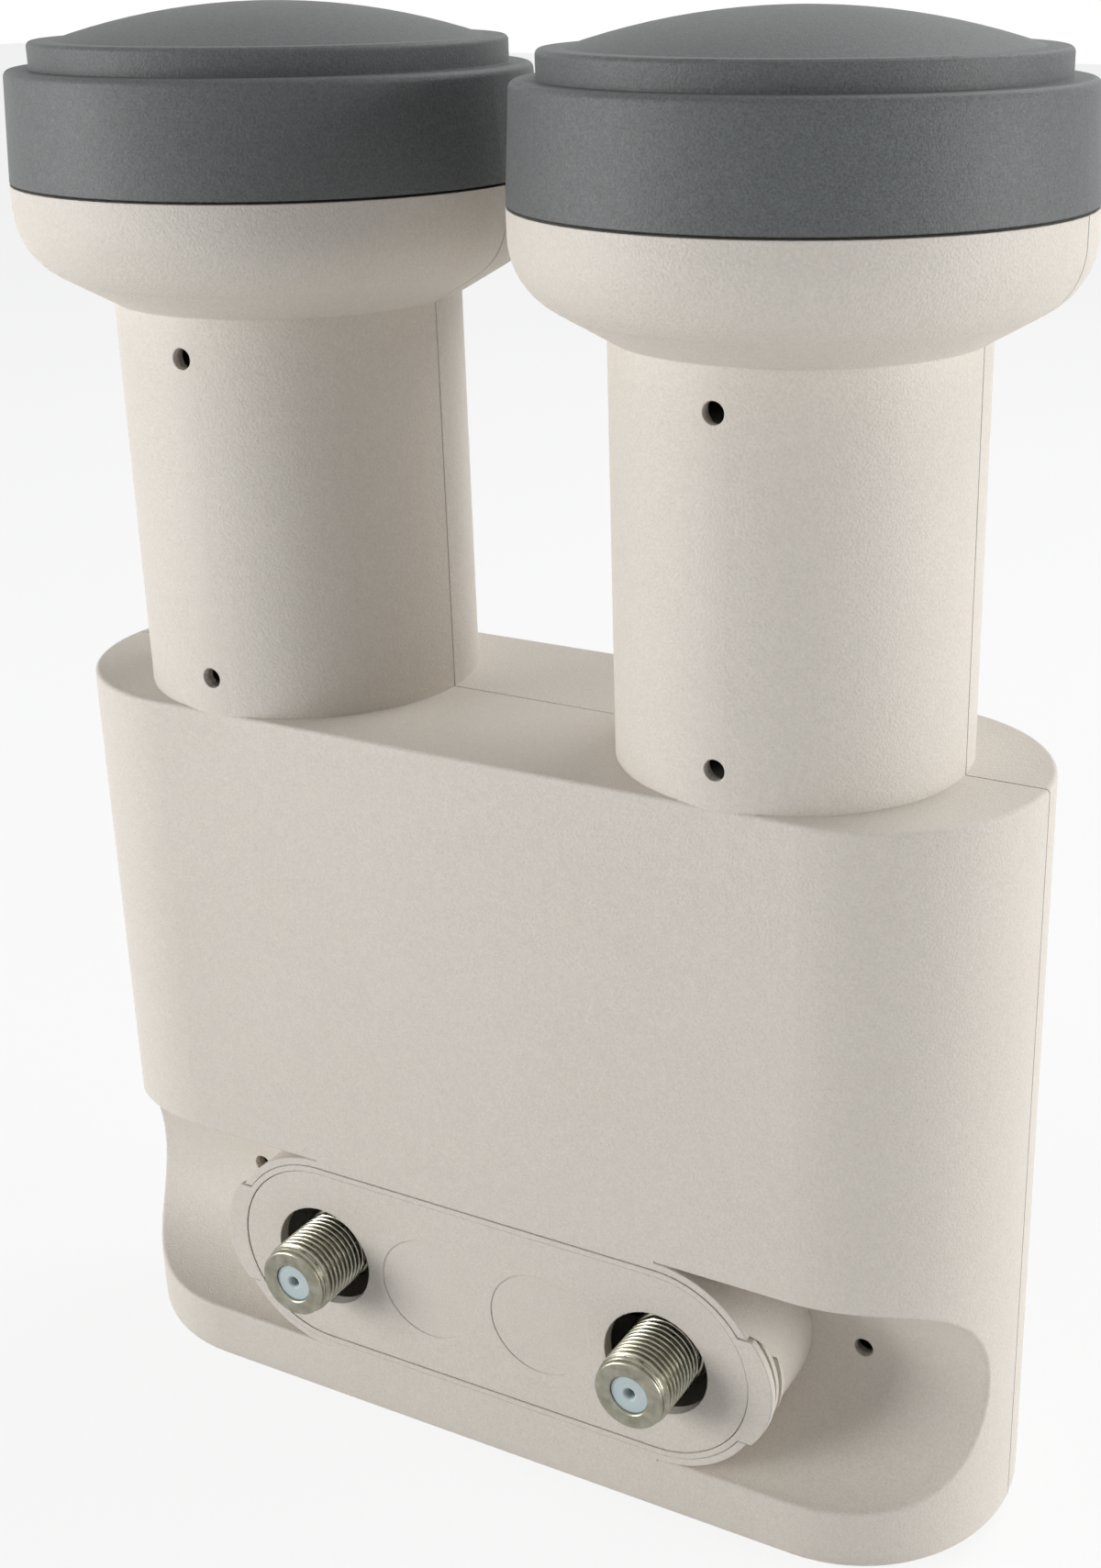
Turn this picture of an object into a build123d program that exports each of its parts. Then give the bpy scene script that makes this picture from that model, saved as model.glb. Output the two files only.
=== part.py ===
from build123d import *
from math import cos, radians, sqrt, tan
import os

# Twin satellite receiver head with two feeds. Millimetres. The origin is the middle of the flat
# bottom, between the two neck axes. +Z is up, the connector side faces -Y, +X is to the right.

# Housing
neck_diameter = 40.0        # the standard clamp size of a dish's feed holder
neck_pitch = 65.5           # between the two feed axes
neck_length = 46.0          # body top to the flare of the cup
neck_setback = 0.05         # the flat faces stand this far proud of the necks
body_overhang = 9.45        # each end of the body beyond its neck
body_height = 95.0
wall = 2.0
top_edge_radius = 0.5
bottom_edge_radius = 3.0
seam_y = 0.5                # plane where the two covers meet
seam_gap = 0.15             # the fine open line between the covers
tongue_thickness = 1.2
tongue_reach = 2.0
tongue_drop = 4.0           # inner roof down to the top of the tongue
fit_gap = 0.15              # all round a locating or sliding fit

# Cups on top of the necks
cup_gap = 5.7               # between the two cups
cup_flare_angle = 30.0      # of the underside, from level
cup_corner_radius = 8.0
cup_inner_radius = 3.5      # inside the same corner
cup_height = 13.2           # start of the flare to the shoulder
spigot_inset = 2.1          # outside of the cup to the outside of its spigot
spigot_wall = 1.9
spigot_lip = 1.6            # of the spigot above its snap groove
spigot_headroom = 1.6       # top of the spigot to the roof of the cap's skirt
snap_depth = 0.5
snap_width = 1.6

# Feed caps
cap_joint = 0.3             # open line between cup shoulder and cap skirt
cap_skirt_height = 11.8
cap_skirt_taper = 0.7       # the skirt's radius loses this much towards the top
cap_edge_radius = 0.8
cap_step_inset = 3.4        # outside of the cup to the step
cap_step_height = 2.9
cap_step_edge = 0.6
cap_dome_inset = 2.7        # step to the start of the dome
cap_dome_rise = 3.8
cap_wall = 1.7
cap_clearance = 0.3         # skirt over spigot
collar_wall = 1.7
collar_room = 1.5           # bore of the spigot to the collar
collar_gap = 0.2            # round the horn head
collar_overlap = 1.5        # of the collar past the middle of the cap's seal

# Channel across the lower front and the connector row in it
row_height = 22.7           # connector axes above the bottom
row_shift = 0.8             # middle of the row, right of the middle of the body
connector_pitch = 16.0
connector_places = 4        # the outer two are open, the others are blank
channel_radius = 13.9
channel_edge_radius = 0.5
drain_diameter = 2.4
drain_rise = 4.3            # lower drain of a neck, above the body's top
drain_drop = 4.6            # upper drain of a neck, below the flare
drain_from_tower = 6.7      # end of the tower to the drain in the channel
drain_skin = 0.9            # wall left round a drain, thinned from inside so that water clears it
drain_relief = 0.35         # radius of the thinned place beyond the hole's
web_thickness = 1.5         # rings inside the necks that steady the horns
web_drop = 1.6              # drain hole's axis down to the top of its web
web_gap = 0.3               # web to horn

# Connector tower
tower_proud = 0.1           # radius of the tower beyond the channel's
tower_rim = 0.95
tower_seam_gap = 0.3        # back of the tower to the seam
slot_floor = 1.4            # thickness behind the weather shield's slot
fascia_margin = 1.5         # the flush band above and below the tower
face_thickness = 1.6        # of the plate that the ports go through
face_wall = 1.1
port_diameter = 13.8
blank_recess = 0.07         # depth of the two blank connector places

# Sliding weather shield
shield_gap = 0.08           # to the tower, inside and outside
shield_wall = 0.75
shield_proud = 0.1
shield_rear_gap = 0.3
grip_proud = 1.3            # middle of the pad's lip beyond the tower's end
grip_corner_proud = 0.5     # its two ends
grip_half_width = 7.15
grip_shoulder = 0.7         # straight part of the pad's side, from the front
grip_depth = 3.8            # front to the deepest point of the pad's curved back
grip_lip = 0.9
grip_grooves = 2            # behind the lip
grip_groove = 0.8           # their width
grip_groove_depth = 1.0
grip_ridge = 0.7            # between the grooves
grip_step = 0.3             # the ridges are this much lower than the lip
catch_width = 5.0
catch_length = 1.6
catch_rise = 0.7
catch_spacing = 24.0
catch_stop = 2.8            # front face to the end of the catches' windows: 14 mm of travel

# F connectors
thread_diameter = 9.525     # 3/8 inch
connector_reach = 6.75      # in front of the housing
connector_nose = 0.7        # plain rounded ring in front of the thread
nose_diameter = 9.0
nose_edge_radius = 0.35
collar_setback = 3.05       # front face back to the collar
collar_diameter = 10.3
boss_setback = 11.05        # front face back to the chassis bosses
shank_diameter = 9.2
shank_length = 8.0
core_diameter = 4.9
core_recess = 0.4
core_edge_radius = 0.35     # where a plug's pin goes in
contact_hole = 1.3
contact_recess = 1.3        # depth of that hole
contact_diameter = 2.2
contact_length = 9.0
contact_floor = 0.9
contact_tail = 0.9
tail_sleeve_diameter = 3.4

# Die-cast chassis
chassis_thickness = 3.0
chassis_margin = 2.0        # to the housing, above and below
chassis_end_gap = 0.55      # to the housing's round ends
chassis_corner = 4.0
rib_thickness = 2.0
rib_pitch = 16.4
rim_depth = 3.5
rib_depth = 6.5
guide_diameter = 17.6       # circular waveguide
guide_depth = 40.0          # mouth of the tube to the floor of the waveguide
guide_floor_thickness = 2.5
tube_diameter = 25.0
tube_drop = 3.0             # body's top down to the mouth of the tube
socket_diameter = 22.0
socket_depth = 12.0
boss_diameter = 17.0        # round each connector

# Feed horns
horn_fit = 0.1
horn_seat_gap = 0.3
horn_head_drop = 3.0        # cup shoulder down to the underside of the head
horn_head_thickness = 1.8
choke_rings = 2
ring_height = 8.0
ring_thickness = 1.1
head_wall = 2.2
seal_section = 1.1          # diameter of every O-ring
seal_slack = 0.03
groove_width = 1.5

# Board, lid and fasteners
board_thickness = 1.0
board_to_lid = 0.5          # level gap round the board, inside the gasket
part_room = 1.5             # board to the inside of the lid
lid_back_gap = 2.55         # lid to the rear wall of the housing
lid_end_gap = 1.4           # lid to the housing's round ends
lid_inset = 1.5             # edge of the chassis to the lid, above and below
lid_ring = 6.0              # width of the lid's solid border
lid_corner = 3.0
lid_roof = 1.5
lid_web = 1.6
lid_web_gap = 0.1           # web to board
lid_web_rise = 1.2          # voltage regulator up to the level web
lid_edge_radius = 0.6
lid_rib_margin = 6.0        # ends of the rear cover's ribs to the ends of the lid
rib_gap = 0.2
gasket_thickness = 0.8
gasket_margin = 0.3
screw_diameter = 2.4
screw_head_diameter = 4.0
screw_head_height = 1.3
screw_slot_width = 0.6
screw_slot_depth = 0.6
screw_clearance = 0.15
screw_fit = 0.02            # round a shank in its own thread
lid_screw_inset = 3.0
lid_screw_columns = 4
lid_screw_length = 4.6
cover_boss_diameter = 5.6
cover_boss_gap = 0.1
chassis_screw_gap = 0.3     # side of the lid to the screw heads
chassis_screw_drop = 19.0   # chassis top down to the upper screws
chassis_screw_length = 9.0

# Probes in the waveguides
probe_diameter = 1.0
straight_probe_drop = 22.0  # below the mouth of the tube
bent_probe_drop = 33.5
bent_probe_gap = 0.7        # outside of the tube to the bent probe's axis
probe_reach = 5.4           # into the waveguide
bush_diameter = 3.2
isolation_pin_diameter = 1.5
isolation_pin_drop = 27.8
probe_block = 6.4
probe_bend_radius = 1.2
tail_proud = 0.8            # of every pin behind the board

# Parts on the board: width, height and thickness, then their places
transistor_size = (2.2, 2.2, 0.8)
chip_size = (5.0, 5.0, 0.9)
crystal_size = (3.2, 2.5, 0.8)
regulator_size = (6.5, 4.0, 1.1)
capacitor_size = (3.2, 1.6, 1.0)
choke_size = (2.6, 2.0, 1.1)
transistor_offset = 5.5     # from its probe towards the middle
transistor_spacing = 10.0
chip_x = 12.0
crystal_x = 20.0
regulator_x = -6.5
regulator_rise = 7.3        # above the connector axes
capacitor_offset = 11.0     # to each side of a connector's axis
capacitor_drop = 6.2
choke_offset = 11.2
choke_rise = 7.8

# Derived sizes of the housing
body_length = neck_pitch + neck_diameter + 2 * body_overhang
body_depth = neck_diameter + 2 * neck_setback
neck_radius = neck_diameter / 2
front_y = -body_depth / 2
inner_radius = body_depth / 2 - wall
end_centre_x = (body_length - body_depth) / 2
necks = {"left": -neck_pitch / 2, "right": neck_pitch / 2}
cup_radius = (neck_pitch - cup_gap) / 2
cup_base = body_height + neck_length
shoulder = cup_base + cup_height
flare = tan(radians(cup_flare_angle))
flare_edge_z = cup_base + (cup_radius - neck_radius) * flare
slant = wall / cos(radians(cup_flare_angle))
neck_bore = neck_radius - wall
cup_bore = cup_radius - wall
inner_flare_z = cup_base + slant + (cup_bore - neck_radius) * flare
cup_roof = shoulder - wall
drain_places = [
    (x, z) for x in necks.values() for z in (body_height + drain_rise, cup_base - drain_drop)
]
tongue_half = body_length / 2 - wall - fit_gap
tongue_height = body_height - 2 * wall - tongue_drop

# Derived sizes of the caps and spigots
cap_base = shoulder + cap_joint
skirt_top = cap_base + cap_skirt_height
cap_step_radius = cup_radius - cap_step_inset
cap_dome_radius = cap_step_radius - cap_dome_inset
ceiling = skirt_top + cap_step_height - cap_wall
spigot_radius = cup_radius - spigot_inset
spigot_bore = spigot_radius - spigot_wall
spigot_top = skirt_top - cap_wall - spigot_headroom
snap_top = spigot_top - spigot_lip
snap_base = snap_top - snap_width

# Derived sizes of the connector row, tower and shield
row_span = (connector_places - 1) * connector_pitch
ports = {"left": row_shift - row_span / 2, "right": row_shift + row_span / 2}
port_places = [(x, row_height) for x in ports.values()]
blank_places = [
    (ports["left"] + place * connector_pitch, row_height) for place in range(1, connector_places - 1)
]
tower_radius = channel_radius + tower_proud
tower_back_y = seam_y - tower_seam_gap
slot_floor_y = tower_back_y - slot_floor
slot_outer = tower_radius - tower_rim
shield_outer = slot_outer - shield_gap
shield_inner = shield_outer - shield_wall
shield_front_y = front_y - shield_proud
shield_back_y = slot_floor_y - shield_rear_gap
face_radius = shield_inner - shield_gap
grip_radius = tower_radius + grip_proud
grip_corner_x = sqrt((tower_radius + grip_corner_proud) ** 2 - grip_half_width**2)
grip_shift = (grip_radius**2 - grip_corner_x**2 - grip_half_width**2) / 2 / (grip_radius - grip_corner_x)
pad_radius = grip_radius - grip_shift
groove_places = [
    shield_front_y + grip_lip + place * (grip_groove + grip_ridge) for place in range(grip_grooves)
]
window_front_y = front_y + catch_stop
catch_places = [
    (row_shift + side * catch_spacing / 2, row_height + up * slot_outer)
    for side in (-1, 1)
    for up in (-1, 1)
]
channel_drain_offset = row_span / 2 + tower_radius + drain_from_tower
channel_drain_places = [
    (row_shift + side * channel_drain_offset, row_height) for side in (-1, 1)
]
drain_relief_radius = drain_diameter / 2 + drain_relief

# Derived sizes of the connectors
connector_front_y = front_y - connector_reach
collar_front_y = front_y + collar_setback
boss_front_y = front_y + boss_setback
boss_back_y = boss_front_y + shank_length
core_front_y = connector_front_y + core_recess
contact_front_y = core_front_y + contact_recess
contact_back_y = contact_front_y + contact_length
seal_groove_outer = shank_diameter / 2 + seal_section + 2 * seal_slack

# Derived sizes of the chassis, board and lid
lid_back_y = body_depth / 2 - wall - lid_back_gap
lid_inside_y = lid_back_y - lid_roof
board_back_y = lid_inside_y - part_room
chassis_back_y = board_back_y - board_thickness
chassis_front_y = chassis_back_y - chassis_thickness
gasket_back_y = chassis_back_y + gasket_thickness
chassis_half_width = end_centre_x + sqrt(inner_radius**2 - chassis_back_y**2) - chassis_end_gap
chassis_bottom = wall + chassis_margin
chassis_top = body_height - wall - chassis_margin
chassis_middle = (chassis_top + chassis_bottom) / 2
lid_half_width = end_centre_x + sqrt(inner_radius**2 - lid_back_y**2) - lid_end_gap
lid_height = chassis_top - chassis_bottom - 2 * lid_inset
opening_half_width = lid_half_width - lid_ring
opening_height = lid_height - 2 * lid_ring
board_half_width = opening_half_width - board_to_lid
board_height = opening_height - 2 * board_to_lid
regulator_top = row_height + regulator_rise + regulator_size[1] / 2
lid_web_z = regulator_top + lid_web_rise + lid_web / 2
chassis_screw_x = lid_half_width + screw_head_diameter / 2 + chassis_screw_gap
chassis_screw_places = [
    (side * chassis_screw_x, z)
    for side in (-1, 1)
    for z in (row_height, chassis_top - chassis_screw_drop)
]
lid_screw_x = lid_half_width - lid_screw_inset
lid_screw_rise = lid_height / 2 - lid_screw_inset
lid_screw_step = 2 * lid_screw_x / (lid_screw_columns - 1)
lid_screw_places = [
    (column * lid_screw_step - lid_screw_x, chassis_middle + up * lid_screw_rise)
    for up in (-1, 1)
    for column in range(lid_screw_columns)
] + [(side * lid_screw_x, chassis_middle) for side in (-1, 1)]

# Derived sizes of the waveguides, horns and probes
guide_radius = guide_diameter / 2
tube_top = body_height - tube_drop
guide_floor = tube_top - guide_depth
horn_radius = socket_diameter / 2 - horn_fit
horn_floor = tube_top - socket_depth + horn_seat_gap
horn_head_radius = spigot_bore - collar_room - collar_wall - collar_gap
head_base = shoulder - horn_head_drop
horn_top = head_base + horn_head_thickness + ring_height
ring_pitch = (horn_head_radius - head_wall + ring_thickness - horn_radius) / (choke_rings + 1)
horn_seal_z = tube_top - socket_depth / 2
lowest_probe_z = tube_top - max(straight_probe_drop, bent_probe_drop)
lowest_transistor_z = lowest_probe_z - (transistor_spacing + transistor_size[1]) / 2
chip_z = (lid_web_z + lid_web / 2 + lowest_transistor_z) / 2
cap_seal_z = horn_top - ring_height / 2
collar_bore = horn_head_radius + collar_gap
bent_probe_offset = tube_diameter / 2 + bent_probe_gap
bent_probe_z = tube_top - bent_probe_drop
isolation_pin_places = [(x, tube_top - isolation_pin_drop) for x in necks.values()]


def facing(y):
    """Sketch plane at depth y that faces the front: its own x is +X and its own y is +Z."""
    return Plane.XZ.offset(-y)


def along_neck(x):
    """Sketch plane through a neck's axis: its own x is the radius and its own y is the height."""
    return Plane(origin=(x, 0, 0), x_dir=(1, 0, 0), z_dir=(0, -1, 0))


def neck_axis(x):
    """The vertical axis of the neck at x."""
    return Axis((x, 0, 0), (0, 0, 1))


def along_connector(x):
    """Sketch plane through a connector's axis: its own x is the radius and its own y is +Y."""
    return Plane(origin=(x, 0, row_height), x_dir=(1, 0, 0), z_dir=(0, 0, 1))


def connector_axis(x):
    """The front to back axis of the connector at x."""
    return Axis((x, 0, row_height), (0, 1, 0))


def row_slot(radius, mode=Mode.ADD, shift=0):
    """Stadium outline round the connector row, its ends' centres moved out by shift, on a facing plane."""
    with Locations((row_shift, row_height)):
        SlotCenterToCenter(row_span + 2 * shift, 2 * radius, mode=mode)


def grip_outline(margin):
    """Side view of a grip pad, grown by margin, as a sketch on the plane of symmetry."""
    half = grip_half_width + margin
    shoulder_y = front_y + grip_shoulder + margin
    back_y = front_y + grip_depth + margin
    ahead_y = shield_front_y - margin
    with BuildSketch(Plane.YZ) as outline:
        with BuildLine():
            Polyline(
                (shoulder_y, row_height + half),
                (ahead_y, row_height + half),
                (ahead_y, row_height - half),
                (shoulder_y, row_height - half),
            )
            ThreePointArc(
                (shoulder_y, row_height - half), (back_y, row_height), (shoulder_y, row_height + half)
            )
        make_face()
    return outline.sketch


def groove_floor(bore_radius):
    """Radius of the bottom of an O-ring groove that faces a bore of the given radius."""
    return bore_radius - seal_section - 2 * seal_slack


def seal_middle(bore_radius):
    """Radius of the middle of an O-ring that lies in that groove."""
    return bore_radius - seal_slack - seal_section / 2


def inward(x, distance):
    """The place at that distance from x towards the middle of the part."""
    return x - distance if x > 0 else x + distance


def export_piece(piece, name):
    """Label a finished piece and write it to its own file."""
    piece.part.label = name
    export_step(piece.part, f"parts/{name}.step")


straight_probe_places = [(x, tube_top - straight_probe_drop) for x in necks.values()]
bent_probe_places = [(inward(x, bent_probe_offset), bent_probe_z) for x in necks.values()]
probe_places = straight_probe_places + bent_probe_places
os.makedirs("parts", exist_ok=True)

# Outer form of the housing, both halves in one: body, channel, necks, cups and spigots.
with BuildPart() as outer_form:
    with BuildSketch(Plane.XY):
        SlotOverall(body_length, body_depth)
    extrude(amount=body_height)
    fillet(outer_form.edges().group_by(Axis.Z)[-1], radius=top_edge_radius)
    fillet(outer_form.edges().group_by(Axis.Z)[0], radius=bottom_edge_radius)
    with BuildSketch(Plane.YZ.offset(-body_length)):
        with Locations((front_y, row_height)):
            Circle(channel_radius)
    extrude(amount=2 * body_length, mode=Mode.SUBTRACT)
    channel_rim = [
        edge
        for edge in outer_form.edges(Select.LAST)
        if abs(edge.center().Z - row_height) <= channel_radius
    ]
    fillet(channel_rim, radius=channel_edge_radius)
    for neck_x in necks.values():
        with BuildSketch(Plane.XY.offset(body_height - top_edge_radius)):
            with Locations((neck_x, 0)):
                Circle(neck_radius)
        extrude(amount=neck_length + top_edge_radius)
        with BuildSketch(along_neck(neck_x)) as cup_profile:
            with BuildLine():
                Polyline(
                    (0, cup_base),
                    (neck_radius, cup_base),
                    (cup_radius, flare_edge_z),
                    (cup_radius, shoulder),
                    (spigot_radius, shoulder),
                    (spigot_radius, snap_base),
                    (spigot_radius - snap_depth, snap_base),
                    (spigot_radius - snap_depth, snap_top),
                    (spigot_radius, snap_top),
                    (spigot_radius, spigot_top),
                    (0, spigot_top),
                    close=True,
                )
            make_face()
            flare_corner = cup_profile.vertices().sort_by_distance((cup_radius, flare_edge_z))[0]
            fillet(flare_corner, radius=cup_corner_radius)
        revolve(axis=neck_axis(neck_x))


# The hollow inside both halves, with the steadying webs left standing in the necks.
with BuildPart() as hollow:
    with BuildSketch(Plane.XY.offset(wall)):
        SlotOverall(body_length - 2 * wall, body_depth - 2 * wall)
    extrude(amount=body_height - 2 * wall)
    for neck_x in necks.values():
        with BuildSketch(along_neck(neck_x)) as hollow_profile:
            with BuildLine():
                Polyline(
                    (0, body_height - 2 * wall),
                    (neck_bore, body_height - 2 * wall),
                    (neck_bore, cup_base + slant - (neck_radius - neck_bore) * flare),
                    (cup_bore, inner_flare_z),
                    (cup_bore, cup_roof - (cup_bore - spigot_bore)),
                    (spigot_bore, cup_roof),
                    (spigot_bore, spigot_top + wall),
                    (0, spigot_top + wall),
                    close=True,
                )
            make_face()
            inner_corner = hollow_profile.vertices().sort_by_distance((cup_bore, inner_flare_z))[0]
            fillet(inner_corner, radius=cup_inner_radius)
        revolve(axis=neck_axis(neck_x))
    for drain_x, drain_z in drain_places:
        with BuildSketch(Plane.XY.offset(drain_z - web_drop)):
            with Locations((drain_x, 0)):
                Circle(neck_radius)
                Circle(horn_radius + web_gap, mode=Mode.SUBTRACT)
        extrude(amount=-web_thickness, mode=Mode.SUBTRACT)

# The front half's own hollow: channel floor, connector tower and screw bosses stay solid.
with BuildPart() as front_hollow:
    add(hollow.part)
    with BuildSketch(Plane.YZ.offset(-body_length)):
        with Locations((front_y, row_height)):
            Circle(channel_radius + wall)
    extrude(amount=2 * body_length, mode=Mode.SUBTRACT)
    with BuildSketch(facing(front_y)):
        row_slot(tower_radius)
    extrude(amount=front_y - tower_back_y, mode=Mode.SUBTRACT)
    with BuildSketch(facing(front_y)):
        with Locations(chassis_screw_places):
            Circle(cover_boss_diameter / 2)
    extrude(amount=front_y - seam_y, mode=Mode.SUBTRACT)

# Notches in the tower's rim that the grip pads sit in.
with BuildPart() as grip_notches:
    extrude(grip_outline(fit_gap), amount=body_length, both=True)
    with BuildSketch(facing(shield_front_y - fit_gap)):
        row_slot(grip_radius)
        row_slot(slot_outer - fit_gap, mode=Mode.SUBTRACT)
    extrude(amount=shield_front_y - fit_gap, mode=Mode.INTERSECT)

with BuildPart() as front_cover:
    add(outer_form.part)
    add(front_hollow.part, mode=Mode.SUBTRACT)
    # connector tower, flush with the front face above and below
    with BuildSketch(facing(front_y)):
        row_slot(tower_radius)
    extrude(amount=front_y - tower_back_y)
    with BuildSketch(facing(front_y)):
        with Locations((row_shift, row_height)):
            Rectangle(row_span, 2 * (tower_radius + fascia_margin))
    extrude(amount=-wall)
    with BuildSketch(facing(front_y + face_thickness)):
        row_slot(face_radius - face_wall)
    extrude(amount=front_y + face_thickness - seam_y, mode=Mode.SUBTRACT)
    # slot that the weather shield slides in, with windows for its catches
    with BuildSketch(facing(front_y)):
        row_slot(slot_outer)
        row_slot(face_radius, mode=Mode.SUBTRACT)
    extrude(amount=front_y - slot_floor_y, mode=Mode.SUBTRACT)
    with BuildSketch(facing(window_front_y)):
        with Locations(catch_places):
            Rectangle(catch_width + 2 * fit_gap, 2 * tower_rim)
    extrude(amount=window_front_y - slot_floor_y, mode=Mode.SUBTRACT)
    add(grip_notches.part, mode=Mode.SUBTRACT)
    # two open connector places and two blank ones, slightly sunk
    with BuildSketch(facing(front_y)):
        with Locations(port_places):
            Circle(port_diameter / 2)
    extrude(amount=-2 * face_thickness, mode=Mode.SUBTRACT)
    with BuildSketch(facing(front_y)):
        with Locations(blank_places):
            Circle(port_diameter / 2)
    extrude(amount=-blank_recess, mode=Mode.SUBTRACT)
    # drain holes: two on each neck, one at each end of the channel
    with BuildSketch(facing(front_y)):
        with Locations(drain_places):
            Circle(drain_diameter / 2)
    extrude(amount=-2 * wall, mode=Mode.SUBTRACT)
    with BuildSketch(facing(drain_skin - neck_radius)):
        with Locations(drain_places):
            Circle(drain_relief_radius)
    extrude(amount=-wall, mode=Mode.SUBTRACT)
    with BuildSketch(facing(front_y)):
        with Locations(channel_drain_places):
            Circle(drain_diameter / 2)
    extrude(amount=-channel_radius - 2 * wall, mode=Mode.SUBTRACT)
    with BuildSketch(facing(front_y + channel_radius + drain_skin)):
        with Locations(channel_drain_places):
            Circle(drain_relief_radius)
    extrude(amount=-wall, mode=Mode.SUBTRACT)
    split(bisect_by=facing(seam_y - seam_gap / 2), keep=Keep.TOP)
    # screw bosses reach back to the chassis plate
    with BuildSketch(facing(seam_y - wall)):
        with Locations(chassis_screw_places):
            Circle(cover_boss_diameter / 2)
    extrude(amount=seam_y - wall - chassis_front_y + cover_boss_gap)
    with BuildSketch(facing(chassis_front_y)):
        with Locations(chassis_screw_places):
            Circle(screw_diameter / 2 + screw_fit)
    extrude(amount=chassis_screw_length, mode=Mode.SUBTRACT)
export_piece(front_cover, "front_cover")

with BuildPart() as rear_cover:
    add(outer_form.part)
    add(hollow.part, mode=Mode.SUBTRACT)
    split(bisect_by=facing(seam_y + seam_gap / 2), keep=Keep.BOTTOM)
    # tongue round the bottom and the two ends, which locates the front cover
    with BuildSketch(facing(seam_y - tongue_reach)):
        with Locations((0, wall + fit_gap)):
            Rectangle(2 * tongue_half, tongue_height, align=(Align.CENTER, Align.MIN))
        with Locations((0, wall + fit_gap + tongue_thickness)):
            Rectangle(
                2 * (tongue_half - tongue_thickness),
                tongue_height,
                align=(Align.CENTER, Align.MIN),
                mode=Mode.SUBTRACT,
            )
    extrude(amount=-2 * tongue_reach)
    with BuildSketch(facing(seam_y + tongue_reach)):
        with Locations((0, wall / 2)):
            Rectangle(2 * (tongue_half + wall / 2), tongue_height, align=(Align.CENTER, Align.MIN))
        with Locations((0, wall + fit_gap + tongue_thickness)):
            Rectangle(
                2 * (tongue_half - tongue_thickness),
                tongue_height,
                align=(Align.CENTER, Align.MIN),
                mode=Mode.SUBTRACT,
            )
    extrude(amount=tongue_reach - seam_gap / 2)
    # ribs that steady the chassis lid
    with BuildSketch(facing(lid_back_y + rib_gap)):
        with Locations([(x, chassis_middle) for x in necks.values()]):
            Rectangle(rib_thickness, lid_height - 2 * lid_rib_margin)
    extrude(amount=lid_back_y + rib_gap - body_depth / 2 + wall / 2)
export_piece(rear_cover, "rear_cover")

with BuildPart() as grip_pads:
    extrude(grip_outline(0), amount=body_length, both=True)
    with BuildSketch(facing(shield_front_y)):
        row_slot(pad_radius - grip_step, shift=grip_shift)
        row_slot(shield_inner, mode=Mode.SUBTRACT)
    extrude(amount=shield_front_y, mode=Mode.INTERSECT)
    for groove_y in groove_places:
        with BuildSketch(facing(groove_y)):
            row_slot(pad_radius, shift=grip_shift)
            row_slot(pad_radius - grip_groove_depth, mode=Mode.SUBTRACT, shift=grip_shift)
        extrude(amount=-grip_groove, mode=Mode.SUBTRACT)

with BuildPart() as grip_lips:
    with BuildSketch(facing(shield_front_y)):
        row_slot(pad_radius, shift=grip_shift)
        row_slot(shield_inner, mode=Mode.SUBTRACT)
        with Locations((row_shift, row_height)):
            Rectangle(body_length, 2 * grip_half_width, mode=Mode.INTERSECT)
    extrude(amount=-grip_lip)

with BuildPart() as weather_shield:
    with BuildSketch(facing(shield_front_y)):
        row_slot(shield_outer)
        row_slot(shield_inner, mode=Mode.SUBTRACT)
    extrude(amount=shield_front_y - shield_back_y)
    add(grip_pads.part)
    add(grip_lips.part)
    with BuildSketch(facing(shield_back_y - catch_length)):
        with Locations(catch_places):
            Rectangle(catch_width, 2 * catch_rise)
    extrude(amount=-catch_length)
export_piece(weather_shield, "weather_shield")

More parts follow.
